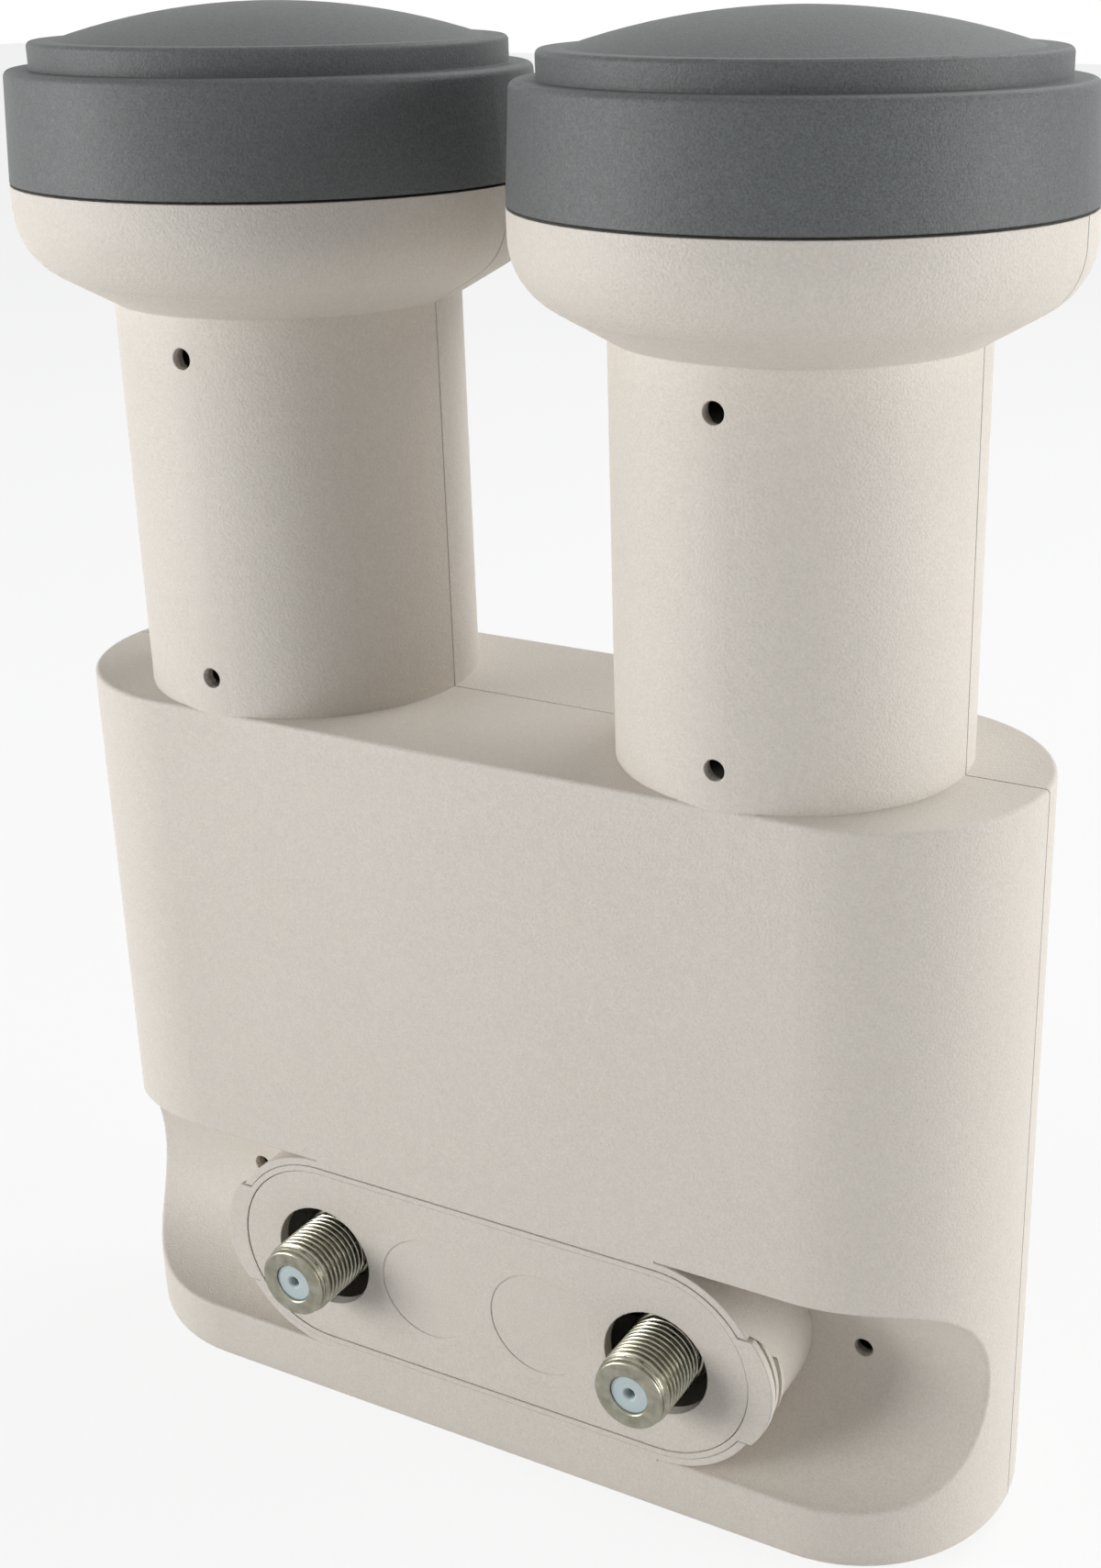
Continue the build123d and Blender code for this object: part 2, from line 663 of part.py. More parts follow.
for side, neck_x in necks.items():
    with BuildPart() as feed_cap:
        with BuildSketch(along_neck(neck_x)) as cap_profile:
            with BuildLine():
                Polyline(
                    (cup_radius, cap_base),
                    (cup_radius - cap_skirt_taper, skirt_top),
                    (cap_step_radius, skirt_top),
                    (cap_step_radius, ceiling + cap_wall),
                    (cap_dome_radius, ceiling + cap_wall),
                )
                TangentArc(
                    (0, ceiling + cap_wall + cap_dome_rise),
                    (cap_dome_radius, ceiling + cap_wall),
                    tangent=(1, 0),
                )
                Line((0, ceiling + cap_wall + cap_dome_rise), (0, ceiling + cap_dome_rise))
                TangentArc(
                    (0, ceiling + cap_dome_rise), (cap_dome_radius - cap_wall, ceiling), tangent=(1, 0)
                )
                Polyline(
                    (cap_dome_radius - cap_wall, ceiling),
                    (cap_step_radius - cap_wall, ceiling),
                    (cap_step_radius - cap_wall, skirt_top - cap_wall),
                    (spigot_radius + cap_clearance, skirt_top - cap_wall),
                    (spigot_radius + cap_clearance, cap_base),
                    (cup_radius, cap_base),
                )
            make_face()
            skirt_corner = cap_profile.vertices().sort_by_distance(
                (cup_radius - cap_skirt_taper, skirt_top)
            )[0]
            fillet(skirt_corner, radius=cap_edge_radius)
            step_corner = cap_profile.vertices().sort_by_distance(
                (cap_step_radius, ceiling + cap_wall)
            )[0]
            fillet(step_corner, radius=cap_step_edge)
        revolve(axis=neck_axis(neck_x))
        # collar round the horn head and the bead that snaps into the cup
        with BuildSketch(Plane.XY.offset(ceiling + cap_wall / 2)):
            with Locations((neck_x, 0)):
                Circle(collar_bore + collar_wall)
                Circle(collar_bore, mode=Mode.SUBTRACT)
        extrude(amount=cap_seal_z - collar_overlap - ceiling - cap_wall / 2)
        with BuildSketch(Plane.XY.offset(snap_base + fit_gap)):
            with Locations((neck_x, 0)):
                Circle(spigot_radius + cap_clearance + cap_wall / 2)
                Circle(spigot_radius - snap_depth + fit_gap, mode=Mode.SUBTRACT)
        extrude(amount=snap_width - 2 * fit_gap)
    export_piece(feed_cap, f"feed_cap_{side}")


with BuildPart() as chassis:
    # rim, ribs and webs first, so the plate and tubes can close over them
    with BuildSketch(facing(chassis_front_y - rim_depth)):
        with Locations((0, chassis_middle)):
            RectangleRounded(2 * chassis_half_width, chassis_top - chassis_bottom, chassis_corner)
            RectangleRounded(
                2 * (chassis_half_width - rib_thickness),
                chassis_top - chassis_bottom - 2 * rib_thickness,
                chassis_corner - rib_thickness,
                mode=Mode.SUBTRACT,
            )
        with Locations(chassis_screw_places):
            Circle(cover_boss_diameter / 2 + screw_clearance, mode=Mode.SUBTRACT)
    extrude(amount=-rim_depth)
    with BuildSketch(facing(chassis_front_y - rib_depth)):
        with Locations([(step * rib_pitch, chassis_middle) for step in (-1, 0, 1)]):
            Rectangle(rib_thickness, chassis_top - chassis_bottom)
        with Locations((0, guide_floor - guide_floor_thickness)):
            Rectangle(neck_pitch, rib_thickness)
        with Locations((row_shift, row_height)):
            Rectangle(row_span, rib_thickness)
    extrude(amount=-rib_depth)
    with BuildSketch(facing(chassis_front_y)):
        with Locations((0, chassis_middle)):
            RectangleRounded(2 * chassis_half_width, chassis_top - chassis_bottom, chassis_corner)
    extrude(amount=chassis_front_y - chassis_back_y)
    with BuildSketch(Plane.XY.offset(guide_floor - guide_floor_thickness)):
        with Locations([(x, 0) for x in necks.values()]):
            Circle(tube_diameter / 2)
    extrude(amount=tube_top - guide_floor + guide_floor_thickness)
    with BuildSketch(facing(boss_front_y)):
        with Locations(port_places):
            Circle(boss_diameter / 2)
    extrude(amount=boss_front_y - chassis_front_y)
    with BuildSketch(facing(-probe_block / 2)):
        with Locations(bent_probe_places):
            Rectangle(probe_block, probe_block)
    extrude(amount=-probe_block / 2 - chassis_front_y)
    split(bisect_by=facing(chassis_back_y), keep=Keep.TOP)
    # waveguides and the sockets that the horns press into
    with BuildSketch(Plane.XY.offset(guide_floor)):
        with Locations([(x, 0) for x in necks.values()]):
            Circle(guide_radius)
    extrude(amount=tube_top - guide_floor, mode=Mode.SUBTRACT)
    with BuildSketch(Plane.XY.offset(tube_top)):
        with Locations([(x, 0) for x in necks.values()]):
            Circle(socket_diameter / 2)
    extrude(amount=-socket_depth, mode=Mode.SUBTRACT)
    # connector bores, their seal seats and the bores for the tails
    with BuildSketch(facing(boss_front_y)):
        with Locations(port_places):
            Circle(shank_diameter / 2 + screw_fit)
    extrude(amount=-shank_length, mode=Mode.SUBTRACT)
    with BuildSketch(facing(boss_front_y)):
        with Locations(port_places):
            Circle(seal_groove_outer)
    extrude(amount=-seal_section - seal_slack, mode=Mode.SUBTRACT)
    with BuildSketch(facing(boss_back_y)):
        with Locations(port_places):
            Circle(tail_sleeve_diameter / 2 + screw_fit)
    extrude(amount=boss_back_y - chassis_back_y, mode=Mode.SUBTRACT)
    # probe bores: straight ones from the board, bent ones turn into the waveguide from the side
    with BuildSketch(facing(chassis_back_y)):
        with Locations(straight_probe_places):
            Circle(bush_diameter / 2)
    extrude(amount=chassis_back_y, mode=Mode.SUBTRACT)
    with BuildSketch(facing(chassis_back_y)):
        with Locations(bent_probe_places):
            Circle(bush_diameter / 2)
    extrude(amount=chassis_back_y + bush_diameter / 2, mode=Mode.SUBTRACT)
    for neck_x in necks.values():
        with BuildSketch(Plane.YZ.offset(neck_x)):
            with Locations((0, bent_probe_z)):
                Circle(bush_diameter / 2)
        extrude(amount=inward(neck_x, bent_probe_offset) - neck_x, mode=Mode.SUBTRACT)
    with BuildSketch(facing(-tube_diameter / 2)):
        with Locations(isolation_pin_places):
            Circle(isolation_pin_diameter / 2 + screw_fit)
    extrude(amount=-tube_diameter + rib_thickness, mode=Mode.SUBTRACT)
    # screw holes
    with BuildSketch(facing(chassis_back_y)):
        with Locations(lid_screw_places):
            Circle(screw_diameter / 2 + screw_fit)
    extrude(amount=lid_screw_length - lid_roof, mode=Mode.SUBTRACT)
    with BuildSketch(facing(chassis_back_y)):
        with Locations(chassis_screw_places):
            Circle(screw_diameter / 2 + screw_clearance)
    extrude(amount=chassis_back_y - chassis_front_y + rim_depth, mode=Mode.SUBTRACT)
export_piece(chassis, "chassis")

for side, neck_x in necks.items():
    with BuildPart() as feed_horn:
        with BuildSketch(along_neck(neck_x)):
            with BuildLine():
                Polyline(
                    (guide_radius, horn_floor),
                    (horn_radius, horn_floor),
                    (horn_radius, head_base),
                    (horn_head_radius, head_base),
                    (horn_head_radius, horn_top),
                    (horn_head_radius - head_wall, horn_top),
                    (horn_head_radius - head_wall, head_base + horn_head_thickness),
                    (horn_radius, head_base + horn_head_thickness),
                    (horn_radius, horn_top),
                    (guide_radius, horn_top),
                    close=True,
                )
            make_face()
        revolve(axis=neck_axis(neck_x))
        # choke rings on the face of the head
        for ring in range(choke_rings):
            ring_radius = horn_radius + (ring + 1) * ring_pitch
            with BuildSketch(Plane.XY.offset(head_base)):
                with Locations((neck_x, 0)):
                    Circle(ring_radius)
                    Circle(ring_radius - ring_thickness, mode=Mode.SUBTRACT)
            extrude(amount=horn_top - head_base)
        # seal grooves: low on the tube and round the head
        for bore_radius, tube_radius, seal_z in (
            (socket_diameter / 2, horn_radius, horn_seal_z),
            (collar_bore, horn_head_radius, cap_seal_z),
        ):
            with BuildSketch(Plane.XY.offset(seal_z - groove_width / 2)):
                with Locations((neck_x, 0)):
                    Circle(tube_radius + wall)
                    Circle(groove_floor(bore_radius), mode=Mode.SUBTRACT)
            extrude(amount=groove_width, mode=Mode.SUBTRACT)
    export_piece(feed_horn, f"feed_horn_{side}")

    for bore_radius, seal_z, seal_name in (
        (socket_diameter / 2, horn_seal_z, "horn_seal"),
        (collar_bore, cap_seal_z, "cap_seal"),
    ):
        with BuildPart() as seal_ring:
            with BuildSketch(along_neck(neck_x)):
                with Locations((seal_middle(bore_radius), seal_z)):
                    Circle(seal_section / 2)
            revolve(axis=neck_axis(neck_x))
        export_piece(seal_ring, f"{seal_name}_{side}")

for side, port_x in ports.items():
    with BuildPart() as f_connector:
        with BuildSketch(along_connector(port_x)) as shell_profile:
            with BuildLine():
                Polyline(
                    (core_diameter / 2, connector_front_y),
                    (nose_diameter / 2, connector_front_y),
                    (nose_diameter / 2, connector_front_y + connector_nose),
                    (thread_diameter / 2, connector_front_y + connector_nose),
                    (thread_diameter / 2, collar_front_y),
                    (collar_diameter / 2, collar_front_y),
                    (collar_diameter / 2, boss_front_y),
                    (shank_diameter / 2, boss_front_y),
                    (shank_diameter / 2, boss_back_y),
                    (core_diameter / 2, boss_back_y),
                    close=True,
                )
            make_face()
            nose_corners = shell_profile.vertices().group_by(Axis.Y)[0]
            fillet(nose_corners, radius=nose_edge_radius)
        revolve(axis=connector_axis(port_x))
    export_piece(f_connector, f"f_connector_{side}")

    with BuildPart() as connector_insulator:
        with BuildSketch(along_connector(port_x)) as core_profile:
            with BuildLine():
                Polyline(
                    (contact_hole / 2, core_front_y),
                    (core_diameter / 2 - screw_fit, core_front_y),
                    (core_diameter / 2 - screw_fit, boss_back_y),
                    (tail_sleeve_diameter / 2, boss_back_y),
                    (tail_sleeve_diameter / 2, chassis_back_y),
                    (contact_tail / 2 + screw_fit, chassis_back_y),
                    (contact_tail / 2 + screw_fit, contact_back_y),
                    (contact_diameter / 2 + screw_fit, contact_back_y),
                    (contact_diameter / 2 + screw_fit, contact_front_y),
                    (contact_hole / 2, contact_front_y),
                    close=True,
                )
            make_face()
            hole_corner = core_profile.vertices().sort_by_distance((contact_hole / 2, core_front_y))[0]
            fillet(hole_corner, radius=core_edge_radius)
        revolve(axis=connector_axis(port_x))
    export_piece(connector_insulator, f"connector_insulator_{side}")

    with BuildPart() as connector_contact:
        with BuildSketch(along_connector(port_x)):
            with BuildLine():
                Polyline(
                    (contact_tail / 2, contact_front_y + screw_fit),
                    (contact_diameter / 2, contact_front_y + screw_fit),
                    (contact_diameter / 2, contact_back_y),
                    (contact_tail / 2, contact_back_y),
                    (contact_tail / 2, board_back_y + tail_proud),
                    (0, board_back_y + tail_proud),
                    (0, contact_back_y - contact_floor),
                    (contact_tail / 2, contact_back_y - contact_floor),
                    close=True,
                )
            make_face()
        revolve(axis=connector_axis(port_x))
    export_piece(connector_contact, f"connector_contact_{side}")

    with BuildPart() as connector_seal:
        with BuildSketch(along_connector(port_x)):
            with Locations(
                (shank_diameter / 2 + seal_slack + seal_section / 2, boss_front_y + seal_section / 2)
            ):
                Circle(seal_section / 2)
        revolve(axis=connector_axis(port_x))
    export_piece(connector_seal, f"connector_seal_{side}")

with BuildPart() as circuit_board:
    with BuildSketch(facing(chassis_back_y)):
        with Locations((0, chassis_middle)):
            Rectangle(2 * board_half_width, board_height)
        with Locations(probe_places):
            Circle(probe_diameter / 2 + screw_clearance, mode=Mode.SUBTRACT)
        with Locations(port_places):
            Circle(contact_tail / 2 + screw_clearance, mode=Mode.SUBTRACT)
    extrude(amount=-board_thickness)
export_piece(circuit_board, "circuit_board")

# Parts on the board's back: two transistors beside each probe, then the chips and supply parts.
board_parts = {
    "lna_transistors": (transistor_size, [
        (inward(x, transistor_offset), z + up * transistor_spacing / 2)
        for x, z in probe_places
        for up in (-1, 1)
    ]),
    "converter_chips": (chip_size, [(side * chip_x, chip_z) for side in (-1, 1)]),
    "crystals": (crystal_size, [(side * crystal_x, chip_z) for side in (-1, 1)]),
    "voltage_regulator": (regulator_size, [(regulator_x, row_height + regulator_rise)]),
    "supply_capacitors": (capacitor_size, [
        (x + side * capacitor_offset, z - capacitor_drop) for x, z in port_places for side in (-1, 1)
    ]),
    "choke_coils": (choke_size, [
        (x + offset, z + choke_rise) for x, z in port_places for offset in (0, choke_offset)
    ]),
}
for name, ((width, height, thickness), places) in board_parts.items():
    with BuildPart() as board_part:
        with BuildSketch(facing(board_back_y)):
            with Locations(places):
                Rectangle(width, height)
        extrude(amount=-thickness)
    export_piece(board_part, name)

with BuildPart() as probe_pins_straight:
    with BuildSketch(facing(guide_radius - probe_reach)):
        with Locations(straight_probe_places):
            Circle(probe_diameter / 2)
    extrude(amount=guide_radius - probe_reach - board_back_y - tail_proud)
export_piece(probe_pins_straight, "probe_pins_straight")

with BuildPart() as probe_pins_bent:
    for neck_x in necks.values():
        probe_x = inward(neck_x, bent_probe_offset)
        with BuildLine(Plane.XY.offset(bent_probe_z)):
            FilletPolyline(
                (probe_x, board_back_y + tail_proud),
                (probe_x, 0),
                (inward(neck_x, guide_radius - probe_reach), 0),
                radius=probe_bend_radius,
            )
        with BuildSketch(facing(board_back_y + tail_proud)):
            with Locations((probe_x, bent_probe_z)):
                Circle(probe_diameter / 2)
        sweep()
export_piece(probe_pins_bent, "probe_pins_bent")

with BuildPart() as probe_bushes:
    with BuildSketch(facing(chassis_back_y)):
        with Locations(probe_places):
            Circle(bush_diameter / 2 - screw_fit)
            Circle(probe_diameter / 2 + screw_fit, mode=Mode.SUBTRACT)
    extrude(amount=chassis_back_y - guide_radius)
export_piece(probe_bushes, "probe_bushes")

with BuildPart() as isolation_pins:
    with BuildSketch(facing(-tube_diameter / 2 + rib_thickness / 2)):
        with Locations(isolation_pin_places):
            Circle(isolation_pin_diameter / 2)
    extrude(amount=-tube_diameter + 2 * rib_thickness)
export_piece(isolation_pins, "isolation_pins")

with BuildPart() as lid_gasket:
    with BuildSketch(facing(chassis_back_y)):
        with Locations((0, chassis_middle)):
            RectangleRounded(
                2 * (lid_half_width - gasket_margin), lid_height - 2 * gasket_margin, lid_corner
            )
        with Locations((0, chassis_middle)):
            Rectangle(
                2 * (opening_half_width + gasket_margin),
                opening_height + 2 * gasket_margin,
                mode=Mode.SUBTRACT,
            )
        with Locations(lid_screw_places):
            Circle(screw_diameter / 2 + screw_clearance, mode=Mode.SUBTRACT)
    extrude(amount=-gasket_thickness)
export_piece(lid_gasket, "lid_gasket")

with BuildPart() as chassis_lid:
    with BuildSketch(facing(gasket_back_y)):
        with Locations((0, chassis_middle)):
            RectangleRounded(2 * lid_half_width, lid_height, lid_corner)
    extrude(amount=gasket_back_y - lid_back_y)
    fillet(chassis_lid.edges().group_by(Axis.Y)[-1], radius=lid_edge_radius)
    with BuildSketch(facing(gasket_back_y)):
        with Locations((0, chassis_middle)):
            Rectangle(2 * opening_half_width, opening_height)
    extrude(amount=gasket_back_y - lid_inside_y, mode=Mode.SUBTRACT)
    # screening webs between the two feeds and above the connector side
    with BuildSketch(facing(board_back_y + lid_web_gap)):
        with Locations((0, chassis_middle)):
            Rectangle(lid_web, opening_height)
        with Locations((0, lid_web_z)):
            Rectangle(2 * opening_half_width, lid_web)
    extrude(amount=board_back_y + lid_web_gap - lid_inside_y)
    with BuildSketch(facing(lid_back_y)):
        with Locations(lid_screw_places):
            Circle(screw_head_diameter / 2 + screw_clearance)
    extrude(amount=screw_head_height, mode=Mode.SUBTRACT)
    with BuildSketch(facing(lid_back_y)):
        with Locations(lid_screw_places):
            Circle(screw_diameter / 2 + screw_clearance)
    extrude(amount=lid_back_y - chassis_back_y, mode=Mode.SUBTRACT)
export_piece(chassis_lid, "chassis_lid")

for name, places, head_back_y, shank in (
    ("lid_screws", lid_screw_places, lid_back_y, lid_screw_length),
    ("chassis_screws", chassis_screw_places, chassis_back_y + screw_head_height, chassis_screw_length),
):
    with BuildPart() as screws:
        with BuildSketch(facing(head_back_y)):
            with Locations(places):
                Circle(screw_head_diameter / 2)
        extrude(amount=screw_head_height)
        with BuildSketch(facing(head_back_y - screw_head_height)):
            with Locations(places):
                Circle(screw_diameter / 2)
        extrude(amount=shank)
        with BuildSketch(facing(head_back_y)):
            with Locations(places):
                Rectangle(screw_head_diameter, screw_slot_width)
        extrude(amount=screw_slot_depth, mode=Mode.SUBTRACT)
    export_piece(screws, name)
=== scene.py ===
"""Dresses a twin satellite receiver head: a finish for every piece and real threads on its connectors.

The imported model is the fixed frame, in metres, with +Z up and the connector side facing -Y.
"""

from __future__ import annotations

import logging
import math
from collections.abc import Sequence
from dataclasses import dataclass
from enum import Enum
from typing import Any

import bpy
from mathutils import Matrix, Vector, noise

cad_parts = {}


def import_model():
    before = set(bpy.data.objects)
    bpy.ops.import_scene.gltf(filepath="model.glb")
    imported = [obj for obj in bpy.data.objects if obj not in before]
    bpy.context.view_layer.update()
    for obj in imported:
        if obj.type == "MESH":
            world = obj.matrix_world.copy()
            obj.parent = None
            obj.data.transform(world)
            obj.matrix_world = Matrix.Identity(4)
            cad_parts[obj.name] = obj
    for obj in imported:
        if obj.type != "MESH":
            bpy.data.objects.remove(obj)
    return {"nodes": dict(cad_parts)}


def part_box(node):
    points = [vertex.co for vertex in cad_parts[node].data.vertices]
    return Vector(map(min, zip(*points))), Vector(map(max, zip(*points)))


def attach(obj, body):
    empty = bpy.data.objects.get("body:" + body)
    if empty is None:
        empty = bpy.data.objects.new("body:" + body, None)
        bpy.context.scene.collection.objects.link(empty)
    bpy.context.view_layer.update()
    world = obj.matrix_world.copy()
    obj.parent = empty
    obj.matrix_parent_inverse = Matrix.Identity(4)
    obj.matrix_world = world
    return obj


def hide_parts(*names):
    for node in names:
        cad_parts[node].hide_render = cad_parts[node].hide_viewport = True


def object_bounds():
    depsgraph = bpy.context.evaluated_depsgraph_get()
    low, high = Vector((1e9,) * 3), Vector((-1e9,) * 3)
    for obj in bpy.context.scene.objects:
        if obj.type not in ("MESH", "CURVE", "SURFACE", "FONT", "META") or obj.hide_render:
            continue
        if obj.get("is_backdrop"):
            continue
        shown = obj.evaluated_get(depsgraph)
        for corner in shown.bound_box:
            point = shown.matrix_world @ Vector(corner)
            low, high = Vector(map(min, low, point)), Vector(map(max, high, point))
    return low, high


MM = 0.001
PIT_HEIGHT = 0.38  # lowest height of the spark-eroded relief, as its noise gives it
CREST_HEIGHT = 0.82  # and its highest
SWELL_SPACING = 4  # grains to one slow swell of the relief
SWELL_SHARE = 0.2  # height of the swells beside the grain's
PATCH_DETAIL = 4.0  # octaves of the soft colour patches
WANDER = 1.2  # how far turned rings stray from plain circles
log = logging.getLogger("receiver_head")


def hex_to_linear(code: str) -> tuple[float, float, float, float]:
    """Turn an sRGB hex colour into linear RGBA.

    Args:
        code: The colour, such as "#d6cfc5".

    Returns:
        The linear red, green and blue, with an alpha of 1.
    """
    linear = []
    for place in (1, 3, 5):
        channel = int(code[place : place + 2], 16) / 255
        dark = channel <= 0.04045  # the sRGB standard's straight part, then its curve
        linear.append(channel / 12.92 if dark else ((channel + 0.055) / 1.055) ** 2.4)
    return (linear[0], linear[1], linear[2], 1.0)


def add_node(
    tree: bpy.types.NodeTree,
    kind: str,
    settings: dict[str, Any] | None = None,
    links: dict[str, bpy.types.NodeSocket] | None = None,
) -> bpy.types.Node:
    """Add a node, give it its settings and link sockets into it.

    Args:
        tree: The node tree that it goes into.
        kind: The node's type, such as "ShaderNodeBump".
        settings: Values by input identifier, or by property name where no input has it.
        links: Output sockets by the identifier of the input that they feed.

    Returns:
        The new node.
    """
    node = tree.nodes.new(kind)
    inputs = {socket.identifier: socket for socket in node.inputs}
    for name, value in (settings or {}).items():
        if name in inputs:
            inputs[name].default_value = value
        else:
            setattr(node, name, value)
    for name, source in (links or {}).items():
        tree.links.new(source, inputs[name])
    return node


class Surface(Enum):
    """How a surface was made, which decides its relief."""

    SPARKED = "moulded against a spark-eroded tool"
    MOULDED = "moulded against a polished tool"
    CAST = "die cast"
    TURNED = "turned on a lathe"
    LAMINATED = "pressed over glass cloth"

    @property
    def detail(self) -> float:
        """Octaves of noise in the relief: more for a rougher skin."""
        return {Surface.SPARKED: 3.0, Surface.CAST: 6.0}.get(self, 1.0)


@dataclass(frozen=True)
class Finish:
    """A material as its maker would specify it.

    Attributes:
        name: The common name of the material and its finish.
        colour: Its main colour, sRGB hex.
        drift: The colour that it drifts to in soft patches, sRGB hex.
        roughness: Lowest and highest roughness over the surface.
        surface: How the surface was made.
        grain_mm: Spacing of the relief; turned rings and woven threads lie two of these apart.
        depth_mm: Height of the relief.
        drift_mm: Size of the soft patches.
        metal: Whether it is a bare metal.
        ior: Index of refraction of what isn't a metal.
        edge_mm: Radius that its sharp edges are broken to.
        glow: Share of light that goes through the skin of the material, for pale resins.
        painted_pit_shade: Share by which the colour is darkened in the deepest pits of the relief, as
            painted shade, and lightened on its crests, as painted light.
    """

    name: str
    colour: str
    drift: str
    roughness: tuple[float, float]
    surface: Surface
    grain_mm: float
    depth_mm: float
    drift_mm: float = 25.0
    metal: bool = False
    ior: float = 1.5
    edge_mm: float = 0.0
    glow: float = 0.0
    painted_pit_shade: float = 0.0

    def relief(self, tree: bpy.types.NodeTree, place: bpy.types.NodeSocket) -> bpy.types.NodeSocket:
        """Draw the height of the surface's relief.

        Args:
            tree: The material's node tree.
            place: The place on the object, in metres.

        Returns:
            The socket with the height, from 0 to about 1.
        """
        pitch = 1 / (self.grain_mm * MM)
        if self.surface is Surface.TURNED:
            rings = {"bands_direction": "Y", "Scale": pitch / math.tau, "Distortion": WANDER}
            return add_node(tree, "ShaderNodeTexWave", rings, {"Vector": place}).outputs["Fac"]
        if self.surface is Surface.LAMINATED:
            threads = [
                add_node(
                    tree,
                    "ShaderNodeTexWave",
                    {"bands_direction": way, "Scale": pitch / math.tau},
                    {"Vector": place},
                ).outputs["Fac"]
                for way in ("X", "Z")
            ]
            crossed = {"Value": threads[0], "Value_001": threads[1]}
            return add_node(tree, "ShaderNodeMath", {"operation": "MAXIMUM"}, crossed).outputs[0]
        fine = {"Scale": pitch, "Detail": self.surface.detail}
        pits = add_node(tree, "ShaderNodeTexNoise", fine, {"Vector": place})
        slow = {"Scale": pitch / SWELL_SPACING, "Detail": 1.0}
        swells = add_node(tree, "ShaderNodeTexNoise", slow, {"Vector": place})
        mixed = {"Value": swells.outputs["Fac"], "Value_002": pits.outputs["Fac"]}
        share = {"operation": "MULTIPLY_ADD", "Value_001": SWELL_SHARE}
        return add_node(tree, "ShaderNodeMath", share, mixed).outputs[0]

    def material(self) -> bpy.types.Material:
        """Make the material, or return it if it is already made.

        Returns:
            The material, with its colour, roughness and relief from noise at real sizes.
        """
        made = bpy.data.materials.get(self.name)
        if made:
            return made
        made = bpy.data.materials.new(self.name)
        made.use_nodes = True
        tree = made.node_tree
        tree.nodes.clear()
        place = add_node(tree, "ShaderNodeTexCoord").outputs["Object"]
        patches = add_node(
            tree,
            "ShaderNodeTexNoise",
            {"Scale": 1 / (self.drift_mm * MM), "Detail": PATCH_DETAIL},
            {"Vector": place},
        ).outputs["Fac"]
        colour = add_node(
            tree,
            "ShaderNodeMix",
            {
                "data_type": "RGBA",
                "A_Color": hex_to_linear(self.colour),
                "B_Color": hex_to_linear(self.drift),
            },
            {"Factor_Float": patches},
        ).outputs[2]  # the node's colour result
        height = self.relief(tree, place)
        # Painted shade and light: the colour is darkened in the relief's pits and lightened on its crests.
        if self.painted_pit_shade:
            shade = add_node(
                tree,
                "ShaderNodeMapRange",
                {
                    "From Min": PIT_HEIGHT,
                    "From Max": CREST_HEIGHT,
                    "To Min": 1 - self.painted_pit_shade,
                    "To Max": 1 + self.painted_pit_shade,
                },
                {"Value": height},
            ).outputs["Result"]
            shaded = {"Vector": colour, "Scale": shade}
            colour = add_node(tree, "ShaderNodeVectorMath", {"operation": "SCALE"}, shaded).outputs[0]
        gloss = add_node(
            tree,
            "ShaderNodeMapRange",
            {"To Min": self.roughness[0], "To Max": self.roughness[1]},
            {"Value": patches},
        ).outputs["Result"]
        under = {"Height": height}
        if self.edge_mm:
            broken = add_node(tree, "ShaderNodeBevel", {"Radius": self.edge_mm * MM})
            under["Normal"] = broken.outputs["Normal"]
        bump = add_node(tree, "ShaderNodeBump", {"Distance": self.depth_mm * MM}, under)
        own = {"Metallic": 1.0} if self.metal else {"IOR": self.ior, "Subsurface Weight": self.glow}
        shader = add_node(
            tree,
            "ShaderNodeBsdfPrincipled",
            {"Subsurface Scale": MM, **own},
            {"Base Color": colour, "Roughness": gloss, "Normal": bump.outputs["Normal"]},
        )
        add_node(tree, "ShaderNodeOutputMaterial", links={"Surface": shader.outputs["BSDF"]})
        return made

    def dress(self, *pieces: bpy.types.Object) -> None:
        """Give pieces this finish as their only material.

        Args:
            pieces: The pieces to dress.
        """
        for piece in pieces:
            piece.data.materials.clear()
            piece.data.materials.append(self.material())
            log.info("%s is %s", piece.name, self.name)


# Weatherproof styrene, moulded: a dull cream skin with a fine, even spark-eroded grain. Its pits are
# about 0.1 mm apart on the real skin, and are drawn at 0.27 mm so that they show. A little painted
# shade darkens the colour in the pits, and painted light lightens it on the crests.
CREAM_ASA = Finish(
    "cream_asa", "#d9d2c8", "#d3ccc1", (0.50, 0.62), Surface.SPARKED, 0.27, 0.08, ior=1.52, edge_mm=0.25,
    painted_pit_shade=0.07,
)
# The same resin in grey: satin, and faintly blue in shade. Its grain is finer and of more contrast,
# which is painted: strong painted shade in its pits and painted light on its crests. It is drawn
# at 0.22 mm so that it shows.
GREY_ASA = Finish(
    "grey_asa", "#606362", "#595c5c", (0.50, 0.62), Surface.SPARKED, 0.22, 0.05, ior=1.45, edge_mm=0.2,
    painted_pit_shade=0.3,
)
# Bright nickel over brass, turned and then handled: warm grey mirror with dull worn patches, whose dark
# olive colour is a painted reflection of warm brown surroundings. The turning marks, about 0.1 mm
# apart, are drawn coarser so that they show.
NICKEL = Finish(
    "nickel_plated_brass", "#b3b1a3", "#6a6755", (0.16, 0.42), Surface.TURNED, 0.25, 0.004, 1.3, metal=True
)
# Polyethylene core of a coaxial socket: waxy, a little translucent and bluish white.
POLYETHYLENE = Finish(
    "polyethylene_core", "#c3d0d2", "#b6c6c9", (0.38, 0.48), Surface.MOULDED, 1.2, 0.01, 3.0, ior=1.51,
    edge_mm=0.12, glow=0.3,
)
# Tinned spring bronze of the contacts: dull silver with the bronze showing through.
TINNED_BRONZE = Finish(
    "tinned_bronze", "#b7a98c", "#8f7a55", (0.28, 0.45), Surface.TURNED, 0.2, 0.003, 1.5, metal=True
)
